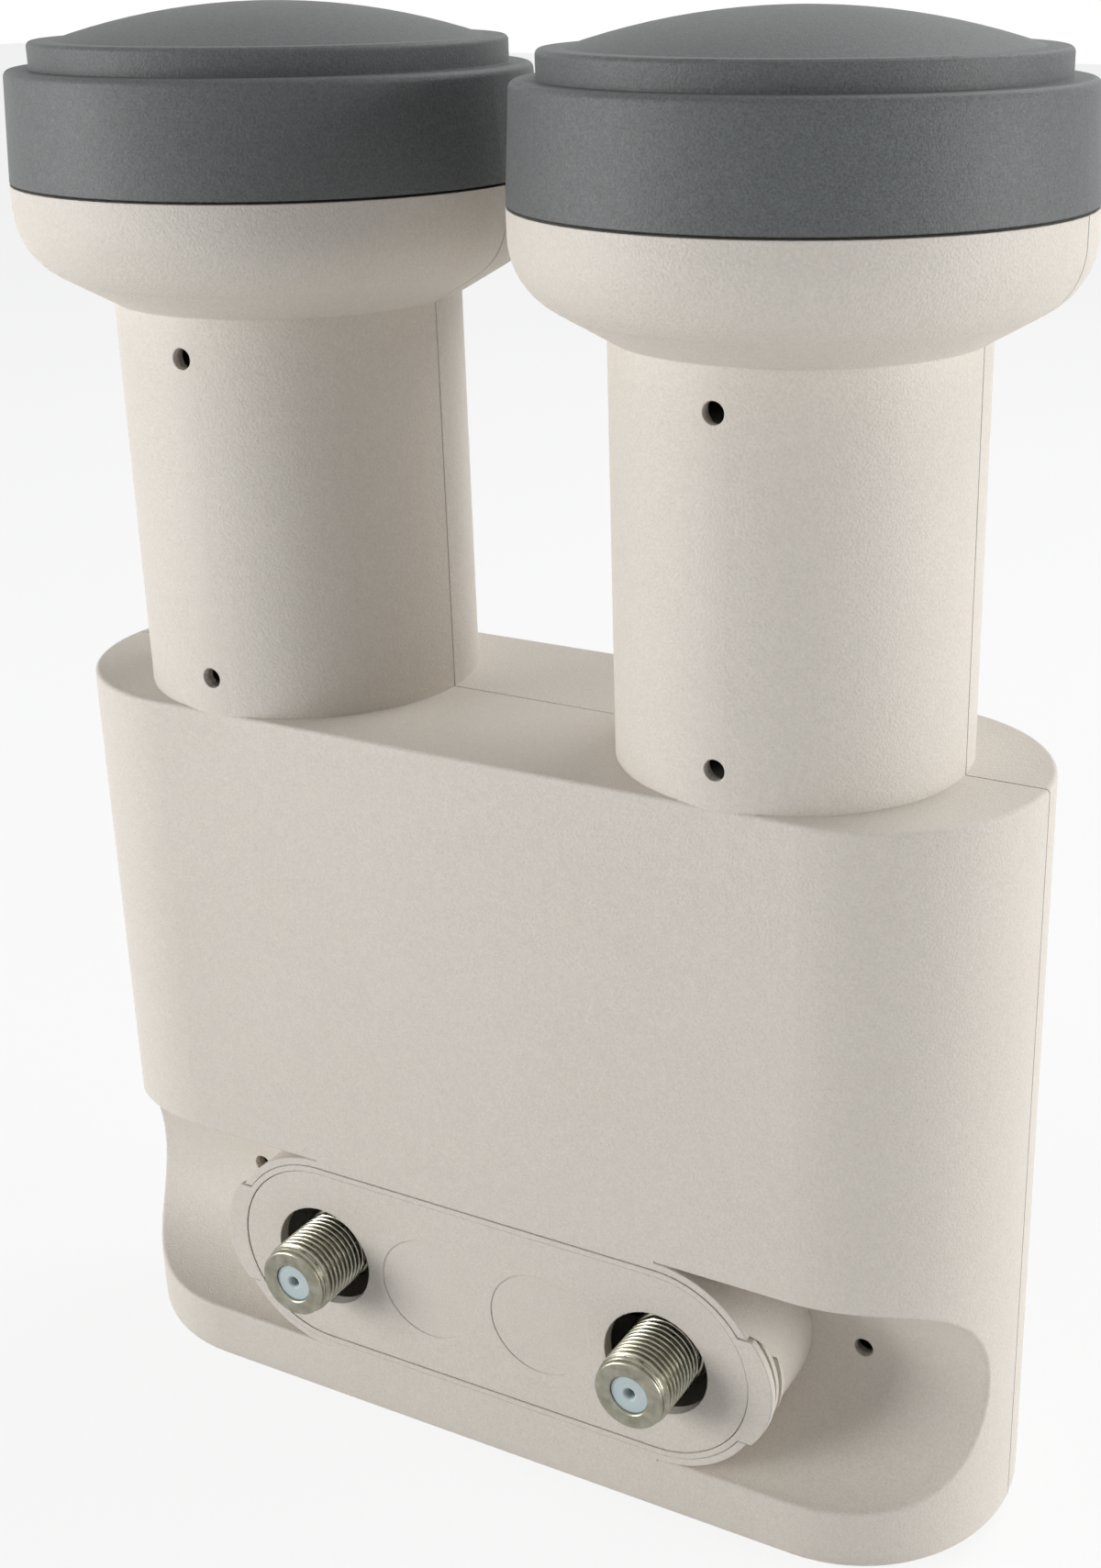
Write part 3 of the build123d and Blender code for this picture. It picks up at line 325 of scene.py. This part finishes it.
# Aluminium pressure die casting, unpainted: pale grey with a soft flow-marked skin.
DIE_CAST_ALUMINIUM = Finish(
    "die_cast_aluminium", "#b4b4b1", "#9c9d9c", (0.38, 0.58), Surface.CAST, 0.8, 0.03, 8.0, metal=True,
    edge_mm=0.2,
)
# Silicone rubber, moulded: black, dull and faintly grey where the mould line was rubbed.
SILICONE = Finish(
    "silicone_rubber", "#1c1d1e", "#262728", (0.60, 0.78), Surface.MOULDED, 0.9, 0.02, 5.0, ior=1.43
)
# Glass-cloth laminate under green solder resist: the weave shows through the gloss.
LAMINATE = Finish(
    "glass_laminate", "#1d5a38", "#174a2e", (0.22, 0.34), Surface.LAMINATED, 0.5, 0.012, 12.0, ior=1.55
)
# Black epoxy of chip packages: fine matt moulding.
EPOXY = Finish(
    "epoxy_package", "#1b1b1c", "#242425", (0.52, 0.66), Surface.SPARKED, 0.12, 0.006, 2.0, ior=1.56
)
# Nickel silver can of the crystals: drawn, smooth and bright.
CRYSTAL_CAN = Finish(
    "nickel_silver_can", "#c4c4bf", "#aaaaa5", (0.20, 0.34), Surface.TURNED, 0.3, 0.002, 1.5, metal=True
)
# Fired barium titanate of the capacitors: dense tan ceramic.
CAPACITOR_CERAMIC = Finish(
    "capacitor_ceramic", "#a98a63", "#97794f", (0.42, 0.55), Surface.CAST, 0.2, 0.006, 1.5, ior=2.0
)
# Sintered ferrite of the chokes: charcoal with a faint metallic grain.
FERRITE = Finish(
    "sintered_ferrite", "#2d2e31", "#3a3b3e", (0.45, 0.60), Surface.CAST, 0.25, 0.01, 1.5, ior=2.1
)
# Fluoropolymer bushes round the probes: pure white, waxy and soft-edged.
FLUOROPOLYMER = Finish(
    "fluoropolymer_bush", "#e8e8e4", "#dcdcd8", (0.40, 0.50), Surface.MOULDED, 0.8, 0.006, 3.0, ior=1.35,
    glow=0.3,
)
# Zinc-plated steel of the screws: bluish bright plate over rolled threads.
ZINC_STEEL = Finish(
    "zinc_plated_steel", "#bfc2c4", "#a6a9aa", (0.24, 0.42), Surface.TURNED, 0.3, 0.004, 2.0, metal=True
)
# Conductive elastomer of the lid gasket: dark grey, filled and dry-looking.
CONDUCTIVE_GASKET = Finish(
    "conductive_elastomer", "#4a4b4d", "#3d3e40", (0.66, 0.80), Surface.CAST, 0.4, 0.02, 4.0, ior=1.45
)


@dataclass
class ThreadedShell:
    """Shell of an F connector: plain nose ring, 32 threads to the inch, collar and shank.

    Attributes:
        node: The node that the shell replaces; its box gives the axis, both ends and the collar.
        crest_mm: Radius over the thread.
        root_mm: Radius at the bottom of the thread.
        pitch_mm: Thread spacing.
        bore_mm: Radius of the bore.
        nose_mm: Radius of the nose ring.
        edge_mm: Rounding of the nose ring's edges.
        ring_mm: Length of the nose ring.
        thread_end_mm: From the front to the collar.
        shank_mm: Radius of the shank.
        shank_start_mm: From the front to the shank.
        chamfer_mm: On the collar's front edge.
        nick_mm: Depth of the knocks on the nose ring.
        knocks: How closely the knocks follow each other round the ring.
        root_flat: Share of half a pitch that is flat at the thread's root.
        flank_share: Share of half a pitch that the flank takes.
        fade_turns: Turns in which the thread runs out at each end.
        lip_mm: Length of the step behind the nose ring.
        lip_rise_mm: Height of that step over the thread's root.
        columns: Points round the shell.
        rows_per_turn: Points along one pitch.
        corner_steps: Points round each of the nose ring's edges.
        crisp_degrees: Bend from which an edge stays sharp.
    """

    node: str
    crest_mm: float = 4.7625
    root_mm: float = 4.30
    pitch_mm: float = 25.4 / 32
    bore_mm: float = 2.45
    nose_mm: float = 4.5
    edge_mm: float = 0.35
    ring_mm: float = 0.7
    thread_end_mm: float = 9.8
    shank_mm: float = 4.6
    shank_start_mm: float = 17.8
    chamfer_mm: float = 0.4
    nick_mm: float = 0.03
    knocks: float = 3.0
    root_flat: float = 0.14
    flank_share: float = 0.66
    fade_turns: float = 0.8
    lip_mm: float = 0.12
    lip_rise_mm: float = 0.04
    columns: int = 144
    rows_per_turn: int = 12
    corner_steps: int = 6
    crisp_degrees: float = 50.0

    def thread_radius(self, along_mm: float, turn: float) -> float:
        """Radius of the thread's flank at a place.

        Args:
            along_mm: Distance from the front of the shell.
            turn: Angle round the axis, as a share of a full turn.

        Returns:
            The radius in millimetres, with flattened crests and a run-out at both ends.
        """
        phase = (along_mm / self.pitch_mm - turn) % 1.0
        flank = (abs(2 * phase - 1) - self.root_flat) / self.flank_share
        flank = min(1.0, max(0.0, flank))
        ridge = flank * flank * (3 - 2 * flank)
        to_ends = min(along_mm - self.ring_mm, self.thread_end_mm - along_mm) / self.pitch_mm
        run_out = min(1.0, max(0.0, to_ends / self.fade_turns))
        return self.root_mm + (self.crest_mm - self.root_mm) * ridge * run_out

    def outline(self, length_mm: float, collar_mm: float) -> list[tuple[float, float | None]]:
        """List the shell's section from the back of the bore, round the nose, to the shank's end.

        Args:
            length_mm: Length of the whole shell.
            collar_mm: Radius of the collar.

        Returns:
            Pairs of distance from the front and radius; the radius is None on the thread.
        """
        section: list[tuple[float, float | None]] = [(length_mm, self.bore_mm)]
        corners = ((self.bore_mm, -1.0), (self.nose_mm, 1.0))
        for radius, side in corners:
            for step in range(self.corner_steps + 1):
                bend = math.pi / 2 * step / self.corner_steps
                out = math.cos(bend) if side < 0 else math.sin(bend)
                back = 1 - (math.sin(bend) if side < 0 else math.cos(bend))
                centre = radius - side * self.edge_mm
                section.append((self.edge_mm * back, centre + side * self.edge_mm * out))
        section.append((self.ring_mm - self.lip_mm, self.nose_mm))
        section.append((self.ring_mm, self.root_mm + self.lip_rise_mm))
        turns = (self.thread_end_mm - self.ring_mm) / self.pitch_mm
        rows = round(turns * self.rows_per_turn)
        for row in range(1, rows):
            share = row / rows
            section.append((self.ring_mm + share * (self.thread_end_mm - self.ring_mm), None))
        section.append((self.thread_end_mm, self.root_mm))
        section.append((self.thread_end_mm, collar_mm - self.chamfer_mm))
        section.append((self.thread_end_mm + self.chamfer_mm, collar_mm))
        section.append((self.shank_start_mm, collar_mm))
        section.append((self.shank_start_mm, self.shank_mm))
        section.append((length_mm, self.shank_mm))
        return section

    def build(self) -> bpy.types.Object:
        """Make the shell's mesh where its node is.

        Returns:
            The new piece, which stands for the node.
        """
        low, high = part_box(self.node)
        axis = (low + high) / 2
        section = self.outline((high.y - low.y) / MM, (high.x - low.x) / 2 / MM)
        points = []
        for along_mm, fixed_mm in section:
            for column in range(self.columns):
                turn = column / self.columns
                radius = fixed_mm if fixed_mm is not None else self.thread_radius(along_mm, turn)
                angle = turn * math.tau
                way = Vector((math.cos(angle), 0, math.sin(angle)))
                if along_mm < self.ring_mm and radius > self.bore_mm + self.edge_mm:
                    own = Vector((axis.x / 10 / MM, along_mm, 0))  # differs from shell to shell
                    knock = noise.noise(way * self.knocks + own)
                    radius -= self.nick_mm * max(0.0, knock) * 2
                spot = way * radius * MM
                points.append((axis.x + spot.x, low.y + along_mm * MM, axis.z + spot.z))
        rows, faces = len(section), []
        for row in range(rows):
            after = (row + 1) % rows
            for column in range(self.columns):
                beside = (column + 1) % self.columns
                faces.append(
                    (
                        row * self.columns + column,
                        after * self.columns + column,
                        after * self.columns + beside,
                        row * self.columns + beside,
                    )
                )
        mesh = bpy.data.meshes.new(f"{self.node}_threaded")
        mesh.from_pydata(points, [], faces)
        mesh.validate()
        mesh.shade_smooth()
        piece = bpy.data.objects.new(mesh.name, mesh)
        bpy.context.scene.collection.objects.link(piece)
        crisp = piece.modifiers.new("crisp corners", "EDGE_SPLIT")
        crisp.split_angle = math.radians(self.crisp_degrees)
        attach(piece, "housing")
        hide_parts(self.node)
        return piece


@dataclass
class ConnectorRow:
    """The two coaxial sockets: shells with real threads, cores and contacts."""

    nodes: dict[str, bpy.types.Object]
    sides: tuple[str, str] = ("left", "right")

    def build(self) -> list[bpy.types.Object]:
        """Make the threaded shells and return them."""
        return [ThreadedShell(f"f_connector_{side}").build() for side in self.sides]

    def dress(self, shells: Sequence[bpy.types.Object]) -> None:
        """Finish the shells, cores and contacts.

        Args:
            shells: The threaded shells.
        """
        NICKEL.dress(*shells)
        for side in self.sides:
            POLYETHYLENE.dress(self.nodes[f"connector_insulator_{side}"])
            TINNED_BRONZE.dress(self.nodes[f"connector_contact_{side}"])
            SILICONE.dress(self.nodes[f"connector_seal_{side}"])


@dataclass
class Housing:
    """The two covers and the weather shield that slides round the connector plate."""

    nodes: dict[str, bpy.types.Object]

    def dress(self) -> None:
        """Finish the covers and the shield in cream resin, and the caps in grey."""
        CREAM_ASA.dress(*[self.nodes[name] for name in ("front_cover", "rear_cover", "weather_shield")])
        GREY_ASA.dress(*[self.nodes[name] for name in ("feed_cap_left", "feed_cap_right")])


@dataclass
class Electronics:
    """Everything inside the housing, by finish."""

    nodes: dict[str, bpy.types.Object]

    def dress(self) -> None:
        """Finish the castings, seals, board and screws."""
        plan: dict[Finish, tuple[str, ...]] = {
            DIE_CAST_ALUMINIUM: ("chassis", "chassis_lid", "feed_horn_left", "feed_horn_right"),
            SILICONE: ("horn_seal_left", "horn_seal_right", "cap_seal_left", "cap_seal_right"),
            CONDUCTIVE_GASKET: ("lid_gasket",),
            LAMINATE: ("circuit_board",),
            EPOXY: ("lna_transistors", "converter_chips", "voltage_regulator"),
            CRYSTAL_CAN: ("crystals",),
            CAPACITOR_CERAMIC: ("supply_capacitors",),
            FERRITE: ("choke_coils",),
            TINNED_BRONZE: ("probe_pins_straight", "probe_pins_bent", "isolation_pins"),
            FLUOROPOLYMER: ("probe_bushes",),
            ZINC_STEEL: ("lid_screws", "chassis_screws"),
        }
        for finish, names in plan.items():
            finish.dress(*[self.nodes[name] for name in names])


@dataclass
class PhotoCamera:
    """The camera of the photograph, fitted to the edges of the housing.

    Attributes:
        place_mm: Where it stands.
        azimuth: Degrees round from the connector side towards +X.
        pitch: Degrees above level.
        roll: Degrees of tilt in the picture.
        focal_px: Focal length in the picture's own pixels.
        axis_px: Where the lens axis meets the picture.
        picture_px: Width and height of the picture.
        sensor_mm: Long side of the sensor.
        near_mm: Nearest distance that it sees.
    """

    place_mm: tuple[float, float, float] = (123.402, -199.132, 179.072)
    azimuth: float = 27.6204
    pitch: float = 21.4450
    roll: float = -0.4470
    focal_px: float = 2287.037
    axis_px: tuple[float, float] = (749.246, 831.103)
    picture_px: tuple[int, int] = (1200, 1709)
    sensor_mm: float = 36.0
    near_mm: float = 10.0

    def build(self) -> bpy.types.Object:
        """Make the camera and set it as the scene's.

        Returns:
            The camera.
        """
        width, height = self.picture_px
        lens = bpy.data.cameras.new("photo_camera")
        lens.sensor_width = self.sensor_mm
        lens.lens = self.sensor_mm * self.focal_px / height
        lens.shift_x = (width / 2 - self.axis_px[0]) / height
        lens.shift_y = (self.axis_px[1] - height / 2) / height
        lens.clip_start = self.near_mm * MM
        around, rise, tilt = (math.radians(a) for a in (self.azimuth, self.pitch, self.roll))
        level = math.cos(rise)
        back = Vector((math.sin(around) * level, -math.cos(around) * level, math.sin(rise)))
        right = Vector((math.cos(around), math.sin(around), 0))
        above = back.cross(right)
        tilted = right * math.cos(tilt) + above * math.sin(tilt)
        upright = above * math.cos(tilt) - right * math.sin(tilt)
        camera = bpy.data.objects.new("photo_camera", lens)
        turn = Matrix((tilted, upright, back)).transposed()
        camera.matrix_world = Matrix.Translation(Vector(self.place_mm) * MM) @ turn.to_4x4()
        bpy.context.scene.collection.objects.link(camera)
        bpy.context.scene.camera = camera
        return camera


@dataclass(frozen=True)
class Softbox:
    """A square studio lamp that faces the object.

    Attributes:
        name: What it lights.
        azimuth: Degrees round from the connector side towards +X.
        elevation: Degrees above level.
        distance: Metres from the middle of the object.
        size: Side of the lamp in metres.
        power: Watts.
    """

    name: str
    azimuth: float
    elevation: float
    distance: float
    size: float
    power: float

    def build(self, target: Vector) -> bpy.types.Object:
        """Make the lamp.

        Args:
            target: The point that it faces.

        Returns:
            The lamp.
        """
        lamp = bpy.data.lights.new(self.name, "AREA")
        lamp.size = self.size
        lamp.energy = self.power
        around, above = math.radians(self.azimuth), math.radians(self.elevation)
        way = Vector(
            (math.sin(around) * math.cos(above), -math.cos(around) * math.cos(above), math.sin(above))
        )
        holder = bpy.data.objects.new(self.name, lamp)
        holder.location = target + way * self.distance
        holder.rotation_euler = way.to_track_quat("Z", "Y").to_euler()
        bpy.context.scene.collection.objects.link(holder)
        return holder


@dataclass
class Studio:
    """White backdrop, pale floor and soft lamps.

    Attributes:
        ambient: Colour of the light from all round, sRGB hex.
        backdrop: Colour of the backdrop to look at, sRGB hex.
        paper: Colour of the floor where it takes light and shadow, sRGB hex.
        floor_side: Side of the floor in metres.
        floor_white: Share of the floor that is plain white to the camera.
        lamps: The softboxes.
    """

    ambient: str = "#74757a"
    backdrop: str = "#ffffff"
    paper: str = "#f4f4f4"
    floor_side: float = 6.0
    floor_white: float = 0.85
    lamps: tuple[Softbox, ...] = (
        Softbox("key_from_the_left", -48, 8, 0.9, 0.5, 6.5),
        Softbox("rim_from_the_right", 100, 8, 0.9, 0.5, 5.8),
        Softbox("back_from_above", 160, 50, 0.9, 0.5, 3.5),
    )

    def seen_directly(self, tree: bpy.types.NodeTree) -> bpy.types.NodeSocket:
        """Tell rays that see the backdrop from rays that only carry light.

        Args:
            tree: A node tree.

        Returns:
            A socket that is 1 for camera, glossy and transmission rays.
        """
        rays = add_node(tree, "ShaderNodeLightPath").outputs
        seen = rays["Is Camera Ray"]
        for name in ("Is Glossy Ray", "Is Transmission Ray"):
            both = {"Value": seen, "Value_001": rays[name]}
            seen = add_node(tree, "ShaderNodeMath", {"operation": "MAXIMUM"}, both).outputs[0]
        return seen

    def build_world(self) -> None:
        """Make a world that is white to look at and lights with the ambient colour."""
        world = bpy.data.worlds.new("studio")
        world.use_nodes = True
        bpy.context.scene.world = world
        tree = world.node_tree
        tree.nodes.clear()
        light = add_node(tree, "ShaderNodeBackground", {"Color": hex_to_linear(self.ambient)})
        white = add_node(tree, "ShaderNodeBackground", {"Color": hex_to_linear(self.backdrop)})
        mixed = {
            "Fac": self.seen_directly(tree),
            "Shader": light.outputs[0],
            "Shader_001": white.outputs[0],
        }
        both = add_node(tree, "ShaderNodeMixShader", links=mixed)
        add_node(tree, "ShaderNodeOutputWorld", links={"Surface": both.outputs[0]})

    def build_floor(self) -> bpy.types.Object:
        """Make the floor, white to look at, which keeps a faint shadow of the object.

        Returns:
            The floor.
        """
        half = self.floor_side / 2
        mesh = bpy.data.meshes.new("floor")
        mesh.from_pydata(
            [(-half, -half, 0), (half, -half, 0), (half, half, 0), (-half, half, 0)], [], [(0, 1, 2, 3)]
        )
        paper = bpy.data.materials.new("backdrop_paper")
        paper.use_nodes = True
        tree = paper.node_tree
        tree.nodes.clear()
        matt = add_node(tree, "ShaderNodeBsdfDiffuse", {"Color": hex_to_linear(self.paper)})
        white = add_node(tree, "ShaderNodeEmission", {"Color": hex_to_linear(self.backdrop)})
        share = add_node(
            tree,
            "ShaderNodeMath",
            {"operation": "MULTIPLY", "Value_001": self.floor_white},
            {"Value": self.seen_directly(tree)},
        ).outputs[0]
        mixed = {"Fac": share, "Shader": matt.outputs[0], "Shader_001": white.outputs[0]}
        both = add_node(tree, "ShaderNodeMixShader", links=mixed)
        add_node(tree, "ShaderNodeOutputMaterial", links={"Surface": both.outputs[0]})
        mesh.materials.append(paper)
        floor = bpy.data.objects.new("floor", mesh)
        bpy.context.scene.collection.objects.link(floor)
        floor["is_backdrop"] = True
        return floor

    def build(self, target: Vector) -> None:
        """Make the world, the floor and the lamps.

        Args:
            target: The middle of the object.
        """
        bpy.context.scene.view_settings.view_transform = "Standard"
        self.build_world()
        self.build_floor()
        for lamp in self.lamps:
            lamp.build(target)


def main() -> None:
    """Load the frame, build and dress each assembly, and set up the studio."""
    logging.basicConfig(level=logging.INFO, format="%(name)s: %(message)s")
    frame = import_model()
    cad_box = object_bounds()
    nodes = frame["nodes"]
    PhotoCamera().build()
    Studio().build((cad_box[0] + cad_box[1]) / 2)
    Housing(nodes).dress()
    sockets = ConnectorRow(nodes)
    sockets.dress(sockets.build())
    Electronics(nodes).dress()


if __name__ == "__main__":
    main()
